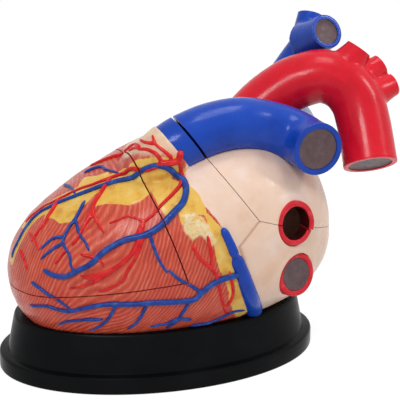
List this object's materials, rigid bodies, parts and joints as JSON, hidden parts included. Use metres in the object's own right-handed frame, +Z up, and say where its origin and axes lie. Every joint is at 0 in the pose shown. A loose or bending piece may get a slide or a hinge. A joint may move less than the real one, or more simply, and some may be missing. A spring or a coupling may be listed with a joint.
{
  "type": "human heart anatomy model",
  "caption": "Enlarged teaching model of a human heart on an oval stand; a ventricle cover and the atrial roof with the great vessels lift off to show chambers and valves.",
  "frame": {"origin": "centre of the stand's flat underside", "axes": "+X from the apex of the heart towards the great vessels, along the stand's long axis; -Y is the heart's left side; +Z up"},
  "size_m": [0.4049, 0.2155, 0.3212],
  "materials": {
    "stand_black": "glossy moulded black plastic",
    "heart_muscle": "hand-painted muscle with striations and fat, under a gloss coat",
    "atrium_pink": "pale pink moulded plastic with a soft gloss",
    "vessel_red": "bright red paint with a high gloss",
    "vessel_blue": "bright blue paint with a high gloss",
    "end_disc": "dark grey-brown satin plastic",
    "valve_ivory": "ivory soft plastic",
    "steel": "plain zinc-plated steel"
  },
  "bodies": {
    "stand_and_heart": {"stand_shell": "stand_black", "stand_plate": "stand_black", "plate_screws": "steel", "heart_screws": "steel", "ventricle_body": "heart_muscle", "atrial_floor": "atrium_pink", "pulmonary_root": "vessel_blue", "aortic_root": "vessel_red", "mitral_valve": "valve_ivory", "tricuspid_valve": "valve_ivory", "aortic_valve": "valve_ivory", "pulmonary_valve": "valve_ivory", "left_papillary_muscles": "heart_muscle", "right_papillary_muscles": "heart_muscle", "left_tendinous_cords": "valve_ivory", "right_tendinous_cords": "valve_ivory", "body_coronary_arteries": "vessel_red", "body_cardiac_veins": "vessel_blue", "coronary_sinus": "vessel_blue", "inferior_vena_cava": "vessel_blue", "inferior_vena_cava_disc": "end_disc", "left_lower_vein_ring": "vessel_red", "left_lower_vein_disc": "end_disc", "left_upper_vein_lower_half": "vessel_red", "right_lower_vein_ring": "vessel_red", "right_lower_vein_disc": "end_disc", "body_magnets": "steel"},
    "cover": {"ventricle_cover": "heart_muscle", "cover_coronary_arteries": "vessel_red", "cover_cardiac_veins": "vessel_blue", "cover_pins": "steel", "cover_magnets": "steel"},
    "roof": {"atrial_roof": "atrium_pink", "aorta": "vessel_red", "pulmonary_trunk": "vessel_blue", "superior_vena_cava": "vessel_blue", "aorta_end_discs": "end_disc", "pulmonary_end_discs": "end_disc", "superior_vena_cava_discs": "end_disc", "left_upper_vein_upper_half": "vessel_red", "right_upper_vein_ring": "vessel_red", "right_upper_vein_disc": "end_disc", "roof_pins": "steel", "roof_magnets": "steel"}
  },
  "joints": [
    {"name": "cover_lift", "type": "slide", "parent": "stand_and_heart", "child": "cover", "axis": [-0.5, 0, 0.866], "range_m": [0, 0.12]},
    {"name": "roof_lift", "type": "slide", "parent": "stand_and_heart", "child": "roof", "axis": [0.6198, 0, 0.7848], "range_m": [0, 0.12]}
  ]
}
